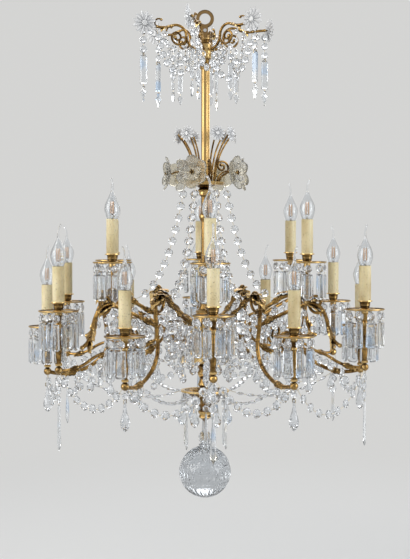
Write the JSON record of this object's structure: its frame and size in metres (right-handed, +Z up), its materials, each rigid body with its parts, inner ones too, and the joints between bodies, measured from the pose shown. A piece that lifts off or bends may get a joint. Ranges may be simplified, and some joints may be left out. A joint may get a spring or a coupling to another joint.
{
  "type": "chandelier",
  "caption": "Tiered gilt bronze and cut glass chandelier: scrolled candle arms with flame bulbs, festooned crown, flower bouquet, prism-hung pans and a large glass ball.",
  "frame": {"origin": "centre of the hanging ring's eye, where the ceiling hook bears", "axes": "+Z up along the stem, +Y away from the viewer along the ring's eye, +X to the right seen from the front"},
  "size_m": [0.8257, 0.8666, 1.146],
  "materials": {
    "gilt_bronze": "old gilding, darker in the hollows and worn bright on the edges",
    "old_bronze": "dark bronze with little gilding left",
    "steel": "plain zinc-coated steel",
    "candle": "ivory candle sleeve with slight drips and speckles",
    "crystal": "cut and polished lead glass",
    "bulb_glass": "clear thin blown glass",
    "filament": "amber filament sticks, unlit"
  },
  "bodies": {
    "ring": {"hanging_ring": "old_bronze"},
    "frame": {"ring_pin": "steel", "top_cap": "old_bronze", "centre_rod": "steel", "stem_tube": "gilt_bronze", "supply_lead": "gilt_bronze", "crown_hub": "gilt_bronze", "crown_arms": "gilt_bronze", "crown_stars": "crystal", "crown_beads": "crystal", "crown_wires": "gilt_bronze", "bouquet_collar": "gilt_bronze", "bouquet_stems": "gilt_bronze", "bouquet_stars": "crystal", "bouquet_roses": "crystal", "chain_beads": "crystal", "swag_beads": "crystal", "garland_wires": "gilt_bronze", "hub_column": "gilt_bronze", "arm_hub": "gilt_bronze", "main_arm_1": "gilt_bronze", "main_arm_2": "gilt_bronze", "main_arm_3": "gilt_bronze", "main_arm_4": "gilt_bronze", "main_arm_5": "gilt_bronze", "main_arm_6": "gilt_bronze", "low_arm_1": "gilt_bronze", "low_arm_2": "gilt_bronze", "low_arm_3": "gilt_bronze", "low_arm_4": "gilt_bronze", "low_arm_5": "gilt_bronze", "low_arm_6": "gilt_bronze", "candle_stems": "gilt_bronze", "drip_pans": "gilt_bronze", "candle_cups": "gilt_bronze", "lampholders": "steel", "candle_sleeves": "candle", "bulb_glass": "bulb_glass", "bulb_caps": "steel", "bulb_filaments": "filament", "pan_prisms": "crystal", "pan_beads": "crystal", "pan_wires": "gilt_bronze", "bottom_bowl": "gilt_bronze", "finial_hook": "gilt_bronze", "bottom_drops": "crystal"},
    "crown_drop_1": {"crown_drop_1": "crystal"},
    "crown_drop_2": {"crown_drop_2": "crystal"},
    "crown_drop_3": {"crown_drop_3": "crystal"},
    "crown_drop_4": {"crown_drop_4": "crystal"},
    "crown_drop_5": {"crown_drop_5": "crystal"},
    "crown_drop_6": {"crown_drop_6": "crystal"},
    "tear_drop_1": {"tear_drop_1": "crystal"},
    "tear_drop_2": {"tear_drop_2": "crystal"},
    "tear_drop_3": {"tear_drop_3": "crystal"},
    "tear_drop_4": {"tear_drop_4": "crystal"},
    "tear_drop_5": {"tear_drop_5": "crystal"},
    "tear_drop_6": {"tear_drop_6": "crystal"},
    "ball": {"crystal_ball": "crystal", "ball_pin": "gilt_bronze"}
  },
  "joints": [
    {"name": "frame_swing", "type": "hinge", "parent": "ring", "child": "frame", "pos_m": [0, 0, -0.028], "axis": [0, 1, 0], "range_deg": [-15, 15]},
    {"name": "crown_drop_1_swing", "type": "hinge", "parent": "frame", "child": "crown_drop_1", "pos_m": [-0.02862, -0.14724, -0.09337], "axis": [0.9816, -0.1908, 0], "range_deg": [-15, 15]},
    {"name": "crown_drop_2_swing", "type": "hinge", "parent": "frame", "child": "crown_drop_2", "pos_m": [0.11321, -0.09841, -0.09337], "axis": [0.6561, 0.7547, 0], "range_deg": [-15, 15]},
    {"name": "crown_drop_3_swing", "type": "hinge", "parent": "frame", "child": "crown_drop_3", "pos_m": [0.14183, 0.04884, -0.09337], "axis": [-0.3256, 0.9455, 0], "range_deg": [-15, 15]},
    {"name": "crown_drop_4_swing", "type": "hinge", "parent": "frame", "child": "crown_drop_4", "pos_m": [0.02862, 0.14724, -0.09337], "axis": [-0.9816, 0.1908, 0], "range_deg": [-15, 15]},
    {"name": "crown_drop_5_swing", "type": "hinge", "parent": "frame", "child": "crown_drop_5", "pos_m": [-0.11321, 0.09841, -0.09337], "axis": [-0.6561, -0.7547, 0], "range_deg": [-15, 15]},
    {"name": "crown_drop_6_swing", "type": "hinge", "parent": "frame", "child": "crown_drop_6", "pos_m": [-0.14183, -0.04884, -0.09337], "axis": [0.3256, -0.9455, 0], "range_deg": [-15, 15]},
    {"name": "tear_drop_1_swing", "type": "hinge", "parent": "frame", "child": "tear_drop_1", "pos_m": [0.18728, -0.31794, -0.8574], "axis": [0.5075, -0.8616, 0], "range_deg": [-15, 15]},
    {"name": "tear_drop_2_swing", "type": "hinge", "parent": "frame", "child": "tear_drop_2", "pos_m": [0.36865, 0.0161, -0.8574], "axis": [0.999, 0.0436, 0], "range_deg": [-15, 15]},
    {"name": "tear_drop_3_swing", "type": "hinge", "parent": "frame", "child": "tear_drop_3", "pos_m": [0.15886, 0.33305, -0.8574], "axis": [0.4305, 0.9026, 0], "range_deg": [-15, 15]},
    {"name": "tear_drop_4_swing", "type": "hinge", "parent": "frame", "child": "tear_drop_4", "pos_m": [-0.19826, 0.31121, -0.8574], "axis": [-0.5373, 0.8434, 0], "range_deg": [-15, 15]},
    {"name": "tear_drop_5_swing", "type": "hinge", "parent": "frame", "child": "tear_drop_5", "pos_m": [-0.36786, -0.02895, -0.8574], "axis": [-0.9969, -0.0785, 0], "range_deg": [-15, 15]},
    {"name": "tear_drop_6_swing", "type": "hinge", "parent": "frame", "child": "tear_drop_6", "pos_m": [-0.16752, -0.32878, -0.8574], "axis": [-0.454, -0.891, 0], "range_deg": [-15, 15]},
    {"name": "ball_swing", "type": "hinge", "parent": "frame", "child": "ball", "pos_m": [0, 0, -0.983], "axis": [0, 1, 0], "range_deg": [-8, 8]}
  ]
}
